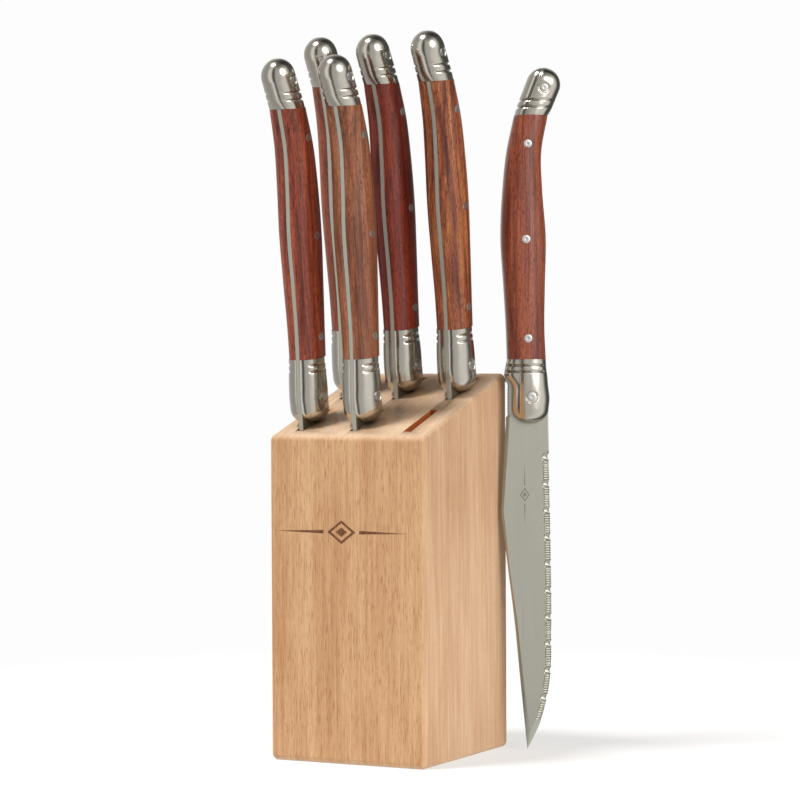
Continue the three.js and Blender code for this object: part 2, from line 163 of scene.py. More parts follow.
def makeBeech(name, tint, front):
    material, tree = newMaterial(name)
    coordinates = addNode(tree, "ShaderNodeTexCoord").outputs
    place = coordinates["Object"]
    grain = sizedNoise(tree, place, beech["grain"], {"Detail": 5.0, "Roughness": 0.62})
    cloud = sizedNoise(tree, place, beech["cloud"], {"Detail": 3.0, "Distortion": 0.6})
    figure = addNode(tree, "ShaderNodeMix", {"data_type": "FLOAT", 0: beech["cloudShare"]},
                     {2: grain, 3: cloud})
    base = addNode(tree, "ShaderNodeValToRGB", links={"Fac": figure},
                   stops=[(at, hexColour(tone)) for at, tone in beech["tones"]])
    # how far a face looks to the front or the back, and how far up, from its normal
    facing = addNode(tree, "ShaderNodeSeparateXYZ", links={"Vector": coordinates["Normal"]}).outputs
    frontShare, topShare = (
        addNode(tree, "ShaderNodeMath", {"operation": "MULTIPLY"}, {0: facing[axis], 1: facing[axis]})
        for axis in (1, 2))
    # faces that look up are mixed towards a paler tone: partly the end grain's own tone, partly painted light
    # on the top
    endGrainLitShare = addNode(tree, "ShaderNodeMath", {"operation": "MULTIPLY", 1: beech["endGrainLitShare"]}, {0: topShare})
    colour = addNode(tree, "ShaderNodeMix", {"data_type": "RGBA", 7: hexColour(beech["endGrainLitTone"])},
                     {0: endGrainLitShare, 6: base}).outputs[2]
    shares = {}
    for kind, (sizes, detail, start, full, most) in beech["marks"].items():
        noise = sizedNoise(tree, place, sizes, {"Detail": detail})
        limits = {"From Min": start, "From Max": full, "To Max": most}
        shares[kind] = addNode(tree, "ShaderNodeMapRange", limits, {"Value": noise})
    for kind, side in (("flecks", frontShare), ("rays", topShare)):
        shares[kind] = addNode(tree, "ShaderNodeMath", {"operation": "MULTIPLY"}, {0: shares[kind], 1: side})
    for share in shares.values():
        colour = addNode(tree, "ShaderNodeMix", {"data_type": "RGBA", 7: hexColour(beech["markColour"])},
                         {0: share, 6: colour}).outputs[2]
    # painted shade: faces that look to the front or back are multiplied by a darker, warmer tone
    multiplied = {"data_type": "RGBA", "blend_type": "MULTIPLY"}
    colour = addNode(tree, "ShaderNodeMix", {**multiplied, 7: hexColour(beech["frontShadeTone"])},
                     {0: frontShare, 6: colour}).outputs[2]
    colour = addNode(tree, "ShaderNodeMix", {**multiplied, 0: 1.0, 7: hexColour(tint)},
                     {6: colour}).outputs[2]
    parts = addNode(tree, "ShaderNodeSeparateXYZ", links={"Vector": place}).outputs
    across, up = (
        addNode(tree, "ShaderNodeMath", {"operation": "SUBTRACT", 1: centre}, {0: parts[axis]})
        for axis, centre in zip((0, 2), burntMark["place"]))
    mask = ornamentMask(tree, across, up, burntMark)
    onFront = addNode(tree, "ShaderNodeMath", {"operation": "LESS_THAN", 1: front + burntMark["depth"]},
                      {0: parts[1]})
    burnt = addNode(tree, "ShaderNodeMath", {"operation": "MULTIPLY"}, {0: mask, 1: onFront})
    weak, strong = burntMark["strength"]
    patchy = addNode(tree, "ShaderNodeMapRange",
                     {"From Min": 0.3, "From Max": 0.6, "To Min": weak, "To Max": strong}, {"Value": grain})
    burntShare = addNode(tree, "ShaderNodeMath", {"operation": "MULTIPLY"}, {0: burnt, 1: patchy})
    colour = addNode(tree, "ShaderNodeMix", {"data_type": "RGBA", 7: hexColour(burntMark["colour"])},
                     {0: burntShare, 6: colour}).outputs[2]
    raised = addNode(tree, "ShaderNodeMath", {"operation": "SUBTRACT"}, {0: grain, 1: shares["flecks"]})
    height = addNode(tree, "ShaderNodeMath", {"operation": "SUBTRACT"}, {0: raised, 1: burnt})
    bump = addNode(tree, "ShaderNodeBump", {"Strength": beech["bump"], "Distance": beech["bumpHeight"]},
                   {"Height": height})
    low, high = beech["rough"]
    rough = addNode(tree, "ShaderNodeMapRange", {"To Min": low, "To Max": high}, {"Value": grain})
    shader = addNode(tree, "ShaderNodeBsdfPrincipled", {"IOR": 1.5, "Specular IOR Level": 0.35},
                     {"Base Color": colour, "Roughness": rough, "Normal": bump})
    addNode(tree, "ShaderNodeOutputMaterial", links={"Surface": shader})
    return material


# Rosewood-like hardwood, turned, sanded and waxed: red brown with darker streaks that run along the handle
# and fine open pores as short dark dashes. Sizes are in mm, and each handle takes its own stretch of the wood
rosewood = {
    "streaks": (2.6, 2.2, 60), "ripple": (0.6, 0.5, 16), "rippleShare": 0.42, "pores": (0.26, 0.26, 1.7),
    "poreLimits": (0.54, 0.64), "poreMost": 0.75, "shift": (7.3, 3.1, 11.7),
    "bump": 0.2, "bumpHeight": 0.08 * mm, "rough": 0.42, "wax": 0.12, "toneAt": (0.38, 0.5, 0.62),
    "tones": {
        "knife_1": ("51180c", "8f3e25", "b85732"), "knife_2": ("531d0d", "8e4428", "ae5936"),
        "knife_3": ("5a2a16", "8b4f30", "b06e48"), "knife_4": ("450f07", "7e2d19", "a13d23"),
        "knife_5": ("521c0c", "9a512b", "c87e45"), "knife_6": ("561f11", "8d452c", "aa5939"),
    },
}


def makeRosewood(knife):
    material, tree = newMaterial(f"waxedRosewood{knife[-1]}")
    place = addNode(tree, "ShaderNodeAttribute", {"attribute_name": "ownPlace"}).outputs["Vector"]
    shift = [step * int(knife[-1]) for step in rosewood["shift"]]
    streaks = sizedNoise(tree, place, rosewood["streaks"],
                         {"Detail": 4.0, "Roughness": 0.55, "Distortion": 0.5}, shift)
    ripple = sizedNoise(tree, place, rosewood["ripple"], {"Detail": 5.0, "Roughness": 0.65}, shift)
    pores = sizedNoise(tree, place, rosewood["pores"], {"Detail": 1.0}, shift)
    figure = addNode(tree, "ShaderNodeMix", {"data_type": "FLOAT", 0: rosewood["rippleShare"]},
                     {2: streaks, 3: ripple})
    tones = [hexColour(tone) for tone in rosewood["tones"][knife]]
    base = addNode(tree, "ShaderNodeValToRGB", links={"Fac": figure},
                   stops=list(zip(rosewood["toneAt"], tones)))
    low, high = rosewood["poreLimits"]
    poreShare = addNode(tree, "ShaderNodeMapRange",
                        {"From Min": low, "From Max": high, "To Max": rosewood["poreMost"]}, {"Value": pores})
    colour = addNode(tree, "ShaderNodeMix", {"data_type": "RGBA", 7: tones[0]},
                     {0: poreShare, 6: base}).outputs[2]
    height = addNode(tree, "ShaderNodeMath", {"operation": "SUBTRACT"}, {0: ripple, 1: poreShare})
    bump = addNode(tree, "ShaderNodeBump", {"Strength": rosewood["bump"], "Distance": rosewood["bumpHeight"]},
                   {"Height": height})
    finish = {"IOR": 1.5, "Roughness": rosewood["rough"], "Coat Weight": rosewood["wax"]}
    shader = addNode(tree, "ShaderNodeBsdfPrincipled", finish, {"Base Color": colour, "Normal": bump})
    addNode(tree, "ShaderNodeOutputMaterial", links={"Surface": shader})
    return material


# Stainless steel: satin on the blade with brush lines along it, polished on bolster and pommel, and drawn
# wire for the pins. Line sizes are in mm
steels = {
    "satinBladeSteel": {"colour": "b6b4a7", "rough": (0.3, 0.42), "lines": (0.16, 0.16, 30), "bump": 0.06},
    "polishedCastSteel": {"colour": "c7c1b5", "rough": (0.15, 0.25), "lines": (0.25, 0.25, 9), "bump": 0.05},
    "drawnPinSteel": {"colour": "ccccc8", "rough": (0.3, 0.42), "lines": (0.3, 0.3, 0.3), "bump": 0.05},
}
lineHeight = 0.05 * mm
# Small etched ornament on the blade's left side, the same lozenge and bars turned along the blade, in mm
etchedMark = {
    "place": (86.0, 1.0), "lozenge": (2.3, 1.7), "hollow": 0.74, "middle": 0.407,
    "bar": (7.5, 0.22), "barStart": 3.2, "colour": "8a8072", "strength": 0.85,
}


def makeSteel(name, etched=False):
    look = steels[name]
    material, tree = newMaterial(name)
    place = addNode(tree, "ShaderNodeAttribute", {"attribute_name": "ownPlace"}).outputs["Vector"]
    lines = sizedNoise(tree, place, look["lines"], {"Detail": 4.0, "Roughness": 0.6})
    low, high = look["rough"]
    rough = addNode(tree, "ShaderNodeMapRange",
                    {"From Min": 0.3, "From Max": 0.7, "To Min": low, "To Max": high}, {"Value": lines})
    bump = addNode(tree, "ShaderNodeBump", {"Strength": look["bump"], "Distance": lineHeight},
                   {"Height": lines})
    colour = hexColour(look["colour"])
    shader = addNode(tree, "ShaderNodeBsdfPrincipled", {"Metallic": 1.0, "Base Color": colour},
                     {"Roughness": rough, "Normal": bump})
    if etched:
        parts = addNode(tree, "ShaderNodeSeparateXYZ", links={"Vector": place}).outputs
        along, up = (
            addNode(tree, "ShaderNodeMath", {"operation": "SUBTRACT", 1: centre}, {0: parts[axis]})
            for axis, centre in zip((2, 1), etchedMark["place"]))
        mask = ornamentMask(tree, along, up, etchedMark)
        onLeft = addNode(tree, "ShaderNodeMath", {"operation": "LESS_THAN", 1: 0.0}, {0: parts[0]})
        marked = addNode(tree, "ShaderNodeMath", {"operation": "MULTIPLY"}, {0: mask, 1: onLeft})
        share = addNode(tree, "ShaderNodeMath", {"operation": "MULTIPLY", 1: etchedMark["strength"]},
                        {0: marked})
        mixed = addNode(tree, "ShaderNodeMix", {
            "data_type": "RGBA", 6: colour, 7: hexColour(etchedMark["colour"])}, {0: share}).outputs[2]
        tree.links.new(mixed, shader.inputs["Base Color"])
    addNode(tree, "ShaderNodeOutputMaterial", links={"Surface": shader})
    return material


# cubic between neighbouring points, with the slope at each point taken from its neighbours
def curveThrough(at, values):
    at = np.array(at, float)
    values = np.array(values, float)
    slopes = np.gradient(values, at)

    def evaluate(x):
        x = np.clip(x, at[0], at[-1])
        i = np.clip(np.searchsorted(at, x, side="right") - 1, 0, len(at) - 2)
        step = at[i + 1] - at[i]
        t = (x - at[i]) / step
        ends = (1 + 2 * t) * (1 - t) ** 2 * values[i] + t * t * (3 - 2 * t) * values[i + 1]
        return ends + t * (1 - t) * step * ((1 - t) * slopes[i] - t * slopes[i + 1])

    return evaluate


# 0 below the first limit, 1 above the second, smooth between them; the limits may be the other way round
def fade(x, start, end):
    t = np.clip((x - start) / (end - start), 0, 1)
    return t * t * (3 - 2 * t)


# closed surface through rings of points: a strip of quads from each ring to the next, and a fan over each end
def closedLoft(rings):
    rows, columns, _ = rings.shape
    points = np.concatenate([rings.reshape(-1, 3), [rings[0].mean(0)], [rings[-1].mean(0)]])
    row, column = np.meshgrid(np.arange(rows - 1), np.arange(columns), indexing="ij")
    beside = (column + 1) % columns
    quads = np.stack([row * columns + column, row * columns + beside,
                      (row + 1) * columns + beside, (row + 1) * columns + column], -1).reshape(-1, 4)
    first = np.arange(columns)
    after = (first + 1) % columns
    last = (rows - 1) * columns
    foot = np.stack([np.full(columns, rows * columns), after, first], -1)
    top = np.stack([np.full(columns, rows * columns + 1), last + first, last + after], -1)
    a, b, c, d = (points[quads[:, i]] for i in range(4))
    volume = np.einsum("ij,ij->i", a, np.cross(b, c) + np.cross(c, d)).sum()
    if volume < 0:
        quads, foot, top = quads[:, ::-1], foot[:, ::-1], top[:, ::-1]
    return points, quads.tolist() + foot.tolist() + top.tolist()


# closed surface turned about the X axis from (x, radius) pairs
def turnedAboutX(profile, y, z, steps=32):
    x, radius = np.array(profile, float).T
    angle = np.linspace(0, 2 * np.pi, steps, endpoint=False)
    rings = np.stack([np.broadcast_to(x[:, None], (len(x), steps)), y + radius[:, None] * np.cos(angle),
                      z + radius[:, None] * np.sin(angle)], -1)
    return closedLoft(rings)


# new piece from points in metres, smooth except where faces meet at more than the angle
def makePiece(name, points, faces, material, smoothUnder=35, ownPlace=None):
    mesh = bpy.data.meshes.new(name)
    mesh.from_pydata(points.tolist(), [], faces)
    mesh.shade_smooth()
    mesh.set_sharp_from_angle(angle=math.radians(smoothUnder))
    if ownPlace is not None:
        attribute = mesh.attributes.new("ownPlace", "FLOAT_VECTOR", "POINT")
        attribute.data.foreach_set("vector", np.ascontiguousarray(ownPlace, np.float32).ravel())
    mesh.materials.append(material)
    piece = bpy.data.objects.new(name, mesh)
    bpy.context.scene.collection.objects.link(piece)
    return piece


def seat(piece, body, slotName, *nodes):
    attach(piece, body)
    if nodes:
        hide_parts(*nodes)


# Knife sizes in mm, in the knife's own frame: tip at the origin, +Z along it, spine towards +Y, thickness
# along X. Values under "at" are shares of a piece's length, and outlines are shares of the blade's or the
# handle's width
blade = {
    "length": 110, "width": 17, "thickness": 1.5,
    "spineAt": [0, 0.21, 0.4, 0.56, 0.73], "spineOut": [0, 0.14, 0.26, 0.39, 0.53], "heelOut": 0.43,
    "edgeAt": [0, 0.09, 0.21, 0.35, 0.6, 1], "edgeOut": [0, 0.28, 0.46, 0.49, 0.48, 0.42],
    "groups": 10, "groupsStart": 9.9, "groupsEnd": 100.1,
    "dipShare": 0.29, "dipDepth": 0.5, "dipHollow": 0.5,
    "teeth": 8, "toothDepth": 0.24, "fluteDepth": 0.42, "leastHalf": 0.6,
    "band": 2.0, "bandFade": (0.05, -0.25), "grind": 0.86, "grindEnd": (0.6, -0.2),
    "bevelAt": [0, 25, 60, 112], "bevelWide": [1.5, 1.0, 0.45, 1.15], "bevelShare": 0.55,
    "bevelEnd": (113.5, 112.3),
    "tipThin": 0.3, "tipFade": (-4, 20), "chamfer": 0.08, "chamferWide": 0.12,
}
# rows of points along the steel sheet, and columns in from its edge in mm, then to its spine in bevel widths
sheetGrid = {
    "tip": 0.05, "tipRows": 34, "heelTo": 112, "heelRows": 20, "fineStep": 0.09, "plainStep": 0.75,
    "filed": (2, 12), "fromEdge": [0, 0.12, 0.3, 0.55, 0.85, 1.15, 1.45, 1.75, 1.95, 2.1, 2.3],
    "edgeReach": (0.033, 0.55), "toSpine": [1.1, 1, 0.5, 0.12, 0],
}
bolster = {
    "length": 21.7, "footShare": 0.23, "thickness": 12.35, "topThickness": 11.5, "narrowFrom": 0.55,
    "at": [0.23, 0.38, 0.6, 0.76, 0.86, 1],
    "spine": [0.35, 0.35, 0.36, 0.5, 0.485, 0.44], "edge": [0.46, 0.48, 0.45, 0.43, 0.41, 0.4],
    "thumbRest": [[0, 0.4716], [0.1, 0.4716], [0.12, 0.435], [0.63, 0.435], [0.66, 0.49], [0.72, 0.49],
                  [0.74, 0.45], [0.76, 0.5]],
    "fileEvery": 1.05, "fileDepth": 0.2, "fileFrom": 0.15, "fileTo": 0.6,
    "grooves": [127.6, 129.7], "grooveEnd": 5.8,
    "powers": (2.1, 3.0), "step": (1.7, 3.2, 0.26),
    "pinUp": 9.0, "pinOut": -0.62, "pinRadius": 1.5,
    "footRows": 26, "rows": 100, "columns": 96, "firstTurn": 0.03,
}
handle = {
    "length": 82.5, "width": 15.5, "thickness": 13, "powers": (2.0, 2.3),
    "at": [0, 0.12, 0.3, 0.5, 0.7, 0.85, 1],
    "spine": [0.44, 0.46, 0.515, 0.58, 0.535, 0.45, 0.285], "edge": [0.4, 0.37, 0.38, 0.4, 0.32, 0.3, 0.44],
    "thick": [0.86, 0.9, 0.96, 1, 1, 0.97, 0.88],
    "rivetAt": [0.085, 0.49, 0.88], "rivetRadius": 1.45,
    "rows": 110, "columns": 44,
}
pommel = {
    "length": 16.5, "bend": math.radians(22), "radius": 5.75, "thickness": 10.8,
    "powers": (2.15, 2.7), "step": (1.9, 2.7, 0.12),
    "grooves": [217.0, 219.4], "grooveEnd": 5.2,
    "pinAlong": 10, "pinRadius": 1.35,
    "rows": 70, "domeRows": 44, "columns": 90, "topGap": 0.02,
}
# cast grooves: how wide and deep they are, where they run out before the edge side, and how much deeper they
# get over the spine side's shoulder
groove = {
    "wide": 0.3, "depth": 0.32, "runOut": 1.2, "shoulder": (0.4, -2.5), "shoulderGain": 1.3, "halfWidth": 5.5,
}
# sunk ring round a pin in the cast steel, on the sides that lie further out than a distance
pinRing = {"gap": 0.45, "depth": 0.4, "slope": (0.25, -0.05), "from": 2}
pinStand = {"rivet": 0.04, "cast": 0.03}
glueGap = 0.02
flatSide = blade["thickness"] / 2 + glueGap
scaleFoot = blade["length"] + bolster["length"]
scaleTop = scaleFoot + handle["length"]

spineCurve = curveThrough(blade["spineAt"], blade["spineOut"])
edgeCurve = curveThrough(blade["edgeAt"], blade["edgeOut"])
bolsterSpine = curveThrough(bolster["at"], bolster["spine"])
bolsterEdge = curveThrough(bolster["at"], bolster["edge"])
handleSpine = curveThrough(handle["at"], handle["spine"])
handleEdge = curveThrough(handle["at"], handle["edge"])
handleThick = curveThrough(handle["at"], handle["thick"])


# spine, edge and half thickness of the wooden part at heights along the knife
def handleSection(z):
    at = (z - scaleFoot) / handle["length"]
    width, half = handle["width"], handle["thickness"] / 2
    return width * handleSpine(at), width * handleEdge(at), half * handleThick(at)


# half a superellipse from the edge side round to the spine side as (side, across), evenly spaced points,
# with one power for the edge's half and one for the spine's
def halfShape(powers, count):
    samples = 4001
    angle = np.linspace(-np.pi / 2, np.pi / 2, samples)
    power = 2 / np.where(angle < 0, powers[0], powers[1])
    side = np.cos(angle).clip(0) ** power
    across = np.sign(angle) * np.abs(np.sin(angle)) ** power
    travelled = np.concatenate([[0], np.cumsum(np.hypot(np.diff(side), np.diff(across)))])
    even = np.linspace(0, travelled[-1], count)
    return np.interp(even, travelled, side), np.interp(even, travelled, across)


# rings of a handle half: x = flat + (thick - flat) * side, y = crown + across times the way from the crown,
# where the half is thickest, to the spine or to the edge
def halfRings(z, spine, edge, thick, powers, count, crown):
    side, across = halfShape(powers, count)
    x = flatSide + (thick - flatSide)[:, None] * side
    reach = np.where(across > 0, (spine - crown)[:, None], (edge + crown)[:, None])
    y = crown[:, None] + reach * across
    return np.stack([x, y, np.broadcast_to(z[:, None], x.shape)], -1)


# the cast side drops by a share of its thickness between two distances from the middle, towards the spine
def stepDown(rings, middle, step):
    start, end, share = step
    rings[..., 0] *= 1 - share * fade(rings[..., 1] - middle, start, end)
    return rings


# rings pushed in towards their middle along the grooves at their heights: 1 minus a bell curve of the height
def carveGrooves(rings, look, middle):
    z = rings[..., 2]
    out = -(rings[..., 1] - middle)
    reach = fade(out, look["grooveEnd"], look["grooveEnd"] - groove["runOut"])
    reach *= 1 + groove["shoulderGain"] * fade(out, *groove["shoulder"])
    cut = sum(np.exp(-((z - height) / groove["wide"]) ** 2) for height in look["grooves"])
    keep = 1 - groove["depth"] * cut * reach / groove["halfWidth"]
    rings[..., 0] *= keep
    rings[..., 1] = middle + (rings[..., 1] - middle) * keep
    return rings


# recess round a pin: the surface sinks where the distance to the pin's axis is just over its radius
def sinkRing(rings, y, z, radius):
    away = np.hypot(rings[..., 1] - y, rings[..., 2] - z) - radius
    outer, inner = (pinRing["gap"] + step for step in pinRing["slope"])
    sunk = pinRing["depth"] * fade(away, outer, inner)
    onSide = np.abs(rings[..., 0]) > pinRing["from"]
    rings[..., 0] -= np.sign(rings[..., 0]) * np.where(onSide, sunk, 0)
    return rings


def scaleShape():
    z = np.linspace(scaleFoot + glueGap, scaleTop - glueGap, handle["rows"])
    spine, edge, thick = handleSection(z)
    return halfRings(z, spine, edge, thick, handle["powers"], handle["columns"], (spine - edge) / 2)


# the bolster's foot is a quarter ellipse of its height, above it the outline follows its curves
def bolsterShape():
    foot = bolster["footShare"] * bolster["length"]
    rise = 1 - np.cos(np.linspace(bolster["firstTurn"], np.pi / 2, bolster["footRows"]))
    up = np.concatenate([foot * rise, np.linspace(foot, bolster["length"], bolster["rows"])[1:]])
    wide = np.sqrt(1 - (1 - np.clip(up / foot, 0, 1)) ** 2)
    at = up / bolster["length"]
    spine = handle["width"] * bolsterSpine(at)
    edge = handle["width"] * bolsterEdge(at)
    middle = (spine - edge) / 2
    half = (spine + edge) / 2 * wide
    narrowing = bolster["topThickness"] - bolster["thickness"]
    full = bolster["thickness"] + narrowing * fade(at, bolster["narrowFrom"], 1)
    thick = flatSide + (full / 2 - flatSide) * wide
    z = blade["length"] + up
    crown = middle * (1 - wide)
    rings = halfRings(z, middle + half, half - middle, thick, bolster["powers"], bolster["columns"], crown)
    rings = stepDown(rings, 0.0, bolster["step"])
    rings = carveGrooves(rings, bolster, 0.0)
    return sinkRing(rings, bolster["pinOut"], blade["length"] + bolster["pinUp"], bolster["pinRadius"])


def pommelPlace(distance):
    spine, edge, _ = handleSection(np.array(scaleTop))
    middle = float(spine - edge) / 2
    return middle - distance * math.sin(pommel["bend"]), scaleTop + distance * math.cos(pommel["bend"])


# full rings along the bent axis, which leans over within the first half of the straight part, then a dome
def pommelShape():
    spine, edge, thick = (float(value) for value in handleSection(np.array(scaleTop)))
    reach = (pommel["length"] - pommel["radius"]) / math.cos(pommel["bend"])
    share = np.linspace(0, 1, pommel["rows"])
    dome = np.linspace(0, np.pi / 2 - pommel["topGap"], pommel["domeRows"])[1:]
    along = np.concatenate([share * reach, reach + pommel["radius"] * np.sin(dome)])
    swell = fade(share, 0, 1)
    half = np.concatenate([(spine + edge) / 2 * (1 - share) + pommel["radius"] * share,
                           pommel["radius"] * np.cos(dome)])
    deep = pommel["thickness"] / 2 * np.concatenate([swell, np.cos(dome)])
    deep[:len(share)] += thick * (1 - swell)
    bend = pommel["bend"] * np.concatenate([np.minimum(1, 2 * share), np.ones(len(dome))])
    side, across = halfShape(pommel["powers"], pommel["columns"])
    side = np.concatenate([side, -side[-2:0:-1]])
    across = np.concatenate([across, across[-2:0:-1]])
    y, z = pommelPlace(along)
    rings = np.stack([deep[:, None] * side, y[:, None] + (half * np.cos(bend))[:, None] * across,
                      z[:, None] + (half * np.sin(bend))[:, None] * across], -1)
    middle = y[:, None]
    rings = stepDown(rings, middle, pommel["step"])
    rings = carveGrooves(rings, pommel, middle)
    pinY, pinZ = pommelPlace(pommel["pinAlong"])
    return sinkRing(rings, pinY, pinZ, pommel["pinRadius"])


# pin outline, (x, radius) pairs from one head's middle out and in to the other's: each head has a slight
# dimple, a flat rim and a small round over
def pinProfile(halfLength, radius):
    head = [(halfLength - 0.05, 0.05), (halfLength - 0.03, 0.22 * radius), (halfLength, 0.32 * radius),
            (halfLength, 0.86 * radius), (halfLength - 0.05, 0.96 * radius), (halfLength - 0.2, radius)]
    return [(-x, r) for x, r in head] + head[::-1]


# spine and edge outlines of the one steel sheet, blade and tang, at heights along the knife
def sheetOutline(z):
    length, width = blade["length"], blade["width"]
    at = z / length
    corner = blade["spineAt"][-1]
    past = np.clip((at - corner) / (1 - corner), 0, 1)
    toHeel = blade["spineOut"][-1] * (1 - past) + blade["heelOut"] * past
    bladeSpine = np.where(at < corner, spineCurve(at), toHeel)
    up = (z - length) / bolster["length"]
    knots, outs = np.array(bolster["thumbRest"]).T
    filed = (up > bolster["fileFrom"]) & (up < bolster["fileTo"])
    wave = np.maximum(0, np.cos(2 * np.pi * z / bolster["fileEvery"]))
    notch = np.where(filed, bolster["fileDepth"] * wave, 0)
    restSpine = handle["width"] * np.interp(up, knots, outs) - notch
    flareSpine = handle["width"] * bolsterSpine(up)
    woodSpine, woodEdge, _ = handleSection(z)
    tangSpine = np.where(up < knots[-1], restSpine, np.where(up < 1, flareSpine, woodSpine))
    heelEdge, castEdge = width * blade["edgeOut"][-1], handle["width"] * bolster["edge"][0]
    footEdge = np.interp(up, [0, bolster["footShare"]], [heelEdge, castEdge])
    bolsterLine = np.where(up < bolster["footShare"], footEdge, handle["width"] * bolsterEdge(up))
    tangEdge = np.where(up < 1, bolsterLine, woodEdge)
    spine = np.where(at < 1, width * bladeSpine, tangSpine)
    return spine, np.where(at < 1, width * edgeCurve(at), tangEdge)


# how far along its group of serrations a height is, from 0 at the upper end, and whether it is in one at all
def groupPhase(z):
    count = (blade["groupsEnd"] - z) / (blade["groupsEnd"] - blade["groupsStart"]) * blade["groups"]
    return count - np.floor(count), (count >= 0) & (count <= blade["groups"])


# heights of the sheet's rows: fine over the serrations and the file work, wider elsewhere
def sheetRows():
    length, step = blade["length"], sheetGrid["fineStep"]
    low, high = blade["groupsStart"] - 1, blade["groupsEnd"] + 1
    filedFrom, filedTo = (length + up for up in sheetGrid["filed"])
    knots = length + bolster["length"] * np.array([knot for knot, _ in bolster["thumbRest"]])
    return np.unique(np.round(np.concatenate([
        np.linspace(sheetGrid["tip"], low, sheetGrid["tipRows"]), np.arange(low, high, step),
        np.linspace(high, sheetGrid["heelTo"], sheetGrid["heelRows"]), np.arange(filedFrom, filedTo, step),
        np.arange(filedTo, scaleTop, sheetGrid["plainStep"]), knots, [scaleTop - 0.05]]), 4))


# each row crosses the sheet from edge to spine and back: the half thickness is that of the sheet, thinned
# towards the edge and over the spine bevel, less a half sine for each dip and half ellipses for the flutes
# on the left side
def bladeShape():
    z = sheetRows()
    spine, edge = sheetOutline(z)
    phase, inGroup = groupPhase(z)
    dipShare = blade["dipShare"]
    dip = np.where(phase < dipShare, np.sin(np.pi * phase / dipShare), 0)
    toothPhase = (phase - dipShare) / (1 - dipShare) * blade["teeth"]
    tooth = np.where(phase >= dipShare, np.sqrt(1 - (2 * (toothPhase % 1) - 1) ** 2), 0)
    edge = edge - np.where(inGroup, blade["dipDepth"] * dip + blade["toothDepth"] * tooth, 0)
    width = spine + edge
    near = np.array(sheetGrid["fromEdge"])
    least, most = sheetGrid["edgeReach"]
    fromEdge = np.minimum(near, width[:, None] * np.linspace(least, most, len(near)))
    fromEdge[:, 0] = 0
    bevel = np.minimum(np.interp(z, blade["bevelAt"], blade["bevelWide"]), 0.4 * width)[:, None]
    toSpine = bevel * np.array(sheetGrid["toSpine"])
    middle = (fromEdge[:, -1] + (width - toSpine[:, 0]))[:, None] / 2
    distance = np.concatenate([fromEdge, middle, width[:, None] - toSpine], 1)
    y = distance - edge[:, None]
    grindFrom, grindTo = (blade["groupsEnd"] + step for step in blade["grindEnd"])
    ground = blade["grind"] * fade(z, grindFrom, grindTo)[:, None]
    thin = 1 - ground * (1 - np.clip(distance / blade["band"], 0, 1))
    bevelShare = blade["bevelShare"] * fade(z, *blade["bevelEnd"])[:, None]
    thin = thin * (1 - bevelShare * (1 - np.clip((width[:, None] - distance) / bevel, 0, 1)))
    tip = (blade["tipThin"] + (1 - blade["tipThin"]) * fade(z, *blade["tipFade"]))[:, None]
    rim = np.minimum(distance, width[:, None] - distance)
    chamfer = blade["chamfer"] * (1 - fade(rim, 0, blade["chamferWide"]))
    base = blade["thickness"] / 2 * thin * tip - chamfer * thin
    hollow = np.where(inGroup, blade["dipHollow"] * dip + blade["fluteDepth"] * tooth, 0)[:, None]
    bandFrom, bandTo = (blade["band"] + step for step in blade["bandFade"])
    left = np.maximum(base - hollow * fade(distance, bandFrom, bandTo), -base * blade["leastHalf"])
    heights = np.broadcast_to(z[:, None], y.shape)
    right = np.stack([base, y, heights], -1)
    mirror = np.stack([-left, y, heights], -1)[:, ::-1]
    return np.concatenate([right, mirror], 1)


# unique points of a CAD node, in metres
def nodePoints(node):
    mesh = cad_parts[node].data
    flat = np.zeros(len(mesh.vertices) * 3)
    mesh.vertices.foreach_get("co", flat)
    return np.unique(np.round(flat.reshape(-1, 3), 7), axis=0)


# the knife's tip and axes in the frame: X is the direction in which the steel sheet is thinnest, the line
# from the tip to the rear rivet gives the other two, and the pommel, which leans to the edge side, gives
# their sense
def knifePlace(knife):
    sheet = nodePoints(f"{knife}_blade")
    rear = nodePoints(f"{knife}_rivet_rear").mean(0)
    cap = nodePoints(f"{knife}_pommel").mean(0)
    thin = np.linalg.eigh(np.cov((sheet - sheet.mean(0)).T))[1][:, 0]
    farthest = sheet[np.argsort(np.linalg.norm(sheet - rear, axis=1))[-2:]]
    tip = farthest.mean(0)
    line = rear - tip
    line -= thin * (line @ thin)
    reach = np.linalg.norm(line)
    line /= reach
    across = np.cross(thin, line)
    if (cap - rear) @ across > 0:
        across = -across
    z = scaleFoot + handle["rivetAt"][-1] * handle["length"]
    spine, edge, _ = handleSection(np.array(z))
    y = (spine - edge) / 2
    size = math.hypot(y, z)
    along = (z * line - y * across) / size
    back = (y * line + z * across) / size
    return tip, np.stack([np.cross(back, along), back, along])


def placed(points, place):
    tip, axes = place
    return points * mm @ axes + tip


materials = {
    "satinBladeSteel": makeSteel("satinBladeSteel", etched=True),
    "polishedCastSteel": makeSteel("polishedCastSteel"),
    "drawnPinSteel": makeSteel("drawnPinSteel"),
}
shapes = {"blade": closedLoft(bladeShape()), "pommel": closedLoft(pommelShape())}
for hand, sign in (("right", 1), ("left", -1)):
    shapes[f"scale_{hand}"] = closedLoft(scaleShape() * (sign, 1, 1))
    shapes[f"bolster_{hand}"] = closedLoft(bolsterShape() * (sign, 1, 1))


